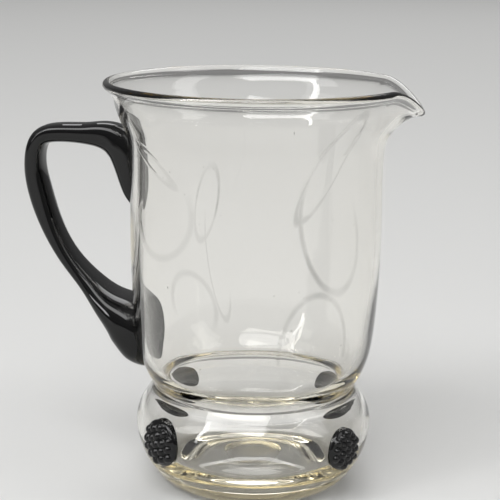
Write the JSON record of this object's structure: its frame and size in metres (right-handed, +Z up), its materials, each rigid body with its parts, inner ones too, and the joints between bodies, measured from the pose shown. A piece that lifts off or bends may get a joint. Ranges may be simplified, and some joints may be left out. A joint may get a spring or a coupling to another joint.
{
  "type": "glass jug",
  "caption": "Blown clear-glass jug with a flared rim and pulled pouring spout, pinched waist over a hollow bulb foot, applied black glass handle and raspberry prunts.",
  "frame": {"origin": "vessel axis at the plane of the base ring", "axes": "+Z up along the vessel axis, +X towards the spout, handle towards -X"},
  "size_m": [0.1769, 0.1336, 0.1795],
  "materials": {
    "clear_glass": "clear blown glass, faintly straw coloured where it is thick",
    "black_glass": "opaque glossy black glass"
  },
  "bodies": {
    "root": {"vessel": "clear_glass", "handle": "black_glass", "prunt_front_left": "black_glass", "prunt_front_right": "black_glass", "prunt_back_left": "black_glass", "prunt_back_right": "black_glass"}
  },
  "joints": []
}
